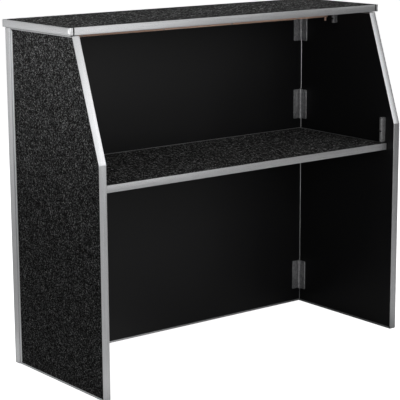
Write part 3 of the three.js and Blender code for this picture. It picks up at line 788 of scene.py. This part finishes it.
# A white cyclorama far behind the floor, for low views
ring = [(40.0 * math.cos(2 * math.pi * k / 96), 40.0 * math.sin(2 * math.pi * k / 96)) for k in range(96)]
me = bpy.data.meshes.new("backdrop")
me.from_pydata([(x, y, z) for z in (-0.01, 60.0) for x, y in ring], [], [(k, (k + 1) % 96, 96 + (k + 1) % 96, 96 + k) for k in range(96)])
back = Graph("backdrop_white")
back.set(color=back.ramp(back.noise(back.place(), 0.5, 3.0), [(0.3, 0.80), (0.7, 0.82)]), rough=0.9, spec=0.0)
back.bsdf.inputs["Emission Color"].default_value = (1.0, 1.0, 1.0, 1.0)
back.bsdf.inputs["Emission Strength"].default_value = 0.95
me.materials.append(back.mat)
backdrop = bpy.data.objects.new("backdrop", me)
scene.collection.objects.link(backdrop)
backdrop.visible_diffuse = backdrop.visible_glossy = backdrop.visible_shadow = False

grey = Graph("floor_grey")
grain = grey.noise(grey.place(), 30.0, 4.0)
side = grey.node("ShaderNodeSeparateXYZ", {"Vector": grey.place()}).outputs["X"]
# painted shade: the grey floor gets darker towards +X, from x = 0.3 m to 2 m
painted_shade_fade = grey.ramp(grey.rescale(side, 0.3, 2.0, 0.0, 1.0), [(0.0, 1.0), (1.0, 0.6)], "EASE")
# painted contact shade around the right panel's foot, x = 0.571 m
painted_foot_shade = grey.rescale(grey.math("ABSOLUTE", grey.math("SUBTRACT", side, 0.571), 0.0), 0.0, 0.15, 0.4, 1.0)
tone = grey.mix(1.0, grey.ramp(grain, [(0.3, FLOOR_GREY - 0.01), (0.7, FLOOR_GREY + 0.01)]), painted_shade_fade, "MULTIPLY")
tone = grey.mix(1.0, tone, painted_foot_shade, "MULTIPLY")
grey.set(color=tone, rough=0.9, spec=0.0)
# painted pool of light: emission on the grey floor centred by the left panel's foot, though no lamp is there
painted_glow_pool = grey.node("ShaderNodeTexGradient", {"Vector": grey.place((1.4, 1.4, 1.4), offset=(0.8, 0.06, 0.0))}, gradient_type="SPHERICAL")
# painted contact shade: the glow dims next to the left panel, x = -0.598 m
painted_near_shade = grey.rescale(grey.math("ABSOLUTE", grey.math("ADD", side, 0.598), 0.0), 0.0, 0.12, 0.3, 1.0)
bounce = grey.mix(1.0, grey.ramp(painted_glow_pool.outputs["Fac"], [(0.0, 0.0), (0.55, 0.34)], "EASE"), painted_near_shade, "MULTIPLY")
grey.feed(grey.bsdf.inputs["Emission Color"], bounce)
grey.bsdf.inputs["Emission Strength"].default_value = 1.0
under_floor = sheet("under_floor", -0.002, grey.mat)
under_floor.visible_camera = False

world = bpy.data.worlds.new("studio")
scene.world = world
world.use_nodes = True
world.node_tree.nodes["Background"].inputs["Color"].default_value = (1.0, 1.0, 1.0, 1.0)
world.node_tree.nodes["Background"].inputs["Strength"].default_value = 0.085


def area(name, loc, aim, sx, sy, power, spread=180.0):
    light = bpy.data.lights.new(name, "AREA")
    light.shape, light.size, light.size_y, light.energy = "RECTANGLE", sx, sy, power
    light.spread = math.radians(spread)
    ob = bpy.data.objects.new(name, light)
    ob.location = loc
    ob.rotation_euler = (Vector(aim) - Vector(loc)).to_track_quat("-Z", "Y").to_euler()
    ob.visible_camera = False
    scene.collection.objects.link(ob)
    return ob


def glow(name, loc, aim, sx, sy, radiance, spread=180.0):
    return area(name, loc, aim, sx, sy, radiance * 4.0 * sx * sy, spread)


glow("softbox", (1.0, -2.9, 2.1), (-0.4, 0.0, 0.9), 1.4, 1.2, 1.33)
glow("softbox_right", (2.5, -2.9, 2.1), (0.6, 0.0, 0.9), 1.6, 1.2, 1.5)
glow("low_card", (1.05, -2.6, 0.75), (1.05, 0.0, 0.75), 0.9, 1.0, 1.45)
glow("low_card_right", (2.05, -2.6, 0.75), (2.05, 0.0, 0.75), 1.1, 1.0, 0.18)
glow("left_card", (-2.1, -1.5, 0.82), (-0.5, -0.26, 0.9), 1.4, 0.6, 1.8)
glow("left_box", (-1.056, 0.05, 1.1), (-0.6, 0.05, 1.1), 0.9, 0.3, 4.9).visible_glossy = False
glow("edge_card", (-1.2, -2.41, 0.88), (-0.61, -0.126, 1.05), 1.5, 0.36, 2.1).visible_diffuse = False
glow("edge_card_left", (-2.58, 0.1, 0.88), (-0.61, -0.126, 1.05), 1.3, 0.36, 3.6).visible_diffuse = False
glow("fill", (-0.9, -3.3, 1.9), (0.1, 0.0, 0.7), 2.0, 1.5, 2.9)
glow("back_card", (-2.6, 2.8, 0.6), (-0.6, 0.2, 0.6), 2.0, 1.2, 0.62)
glow("overhead", (0.0, 0.75, 3.6), (0.0, 0.75, 0.0), 2.4, 1.4, 2.9)
glow("rear_card", (2.0, 2.6, 0.7), (0.3, 0.3, 0.7), 1.8, 1.2, 1.0)
glow("right_card", (3.2, 0.2, 0.75), (0.6, 0.0, 0.75), 1.8, 1.1, 0.6, 100.0)
glow("rear_box", (-0.6, 3.6, 2.3), (0.0, 0.24, 0.6), 2.0, 1.2, 1.8)
glow("right_box", (3.0, 0.8, 2.4), (0.6, 0.0, 0.6), 1.6, 1.0, 1.0)

yaw, pitch, roll = math.radians(37.952), math.radians(11.937), math.radians(-0.319)
fwd = Vector((math.sin(yaw) * math.cos(pitch), math.cos(yaw) * math.cos(pitch), -math.sin(pitch)))
right = Vector((math.cos(yaw), -math.sin(yaw), 0.0))
up = right.cross(fwd)
r2 = right * math.cos(roll) + up * math.sin(roll)
u2 = -right * math.sin(roll) + up * math.cos(roll)
cam_data = bpy.data.cameras.new("camera")
cam_data.lens, cam_data.sensor_width = 137.81, 36.0
cam_data.clip_start, cam_data.clip_end = 0.05, 200.0
cam = bpy.data.objects.new("camera", cam_data)
cam.matrix_world = Matrix(((r2.x, u2.x, -fwd.x, -2.9778), (r2.y, u2.y, -fwd.y, -3.7589), (r2.z, u2.z, -fwd.z, 1.4946), (0, 0, 0, 1)))
scene.collection.objects.link(cam)
scene.camera = cam
scene.view_settings.view_transform = "Standard"
scene.view_settings.look = "None"
scene.view_settings.exposure = 0.0
scene.view_settings.gamma = 1.0
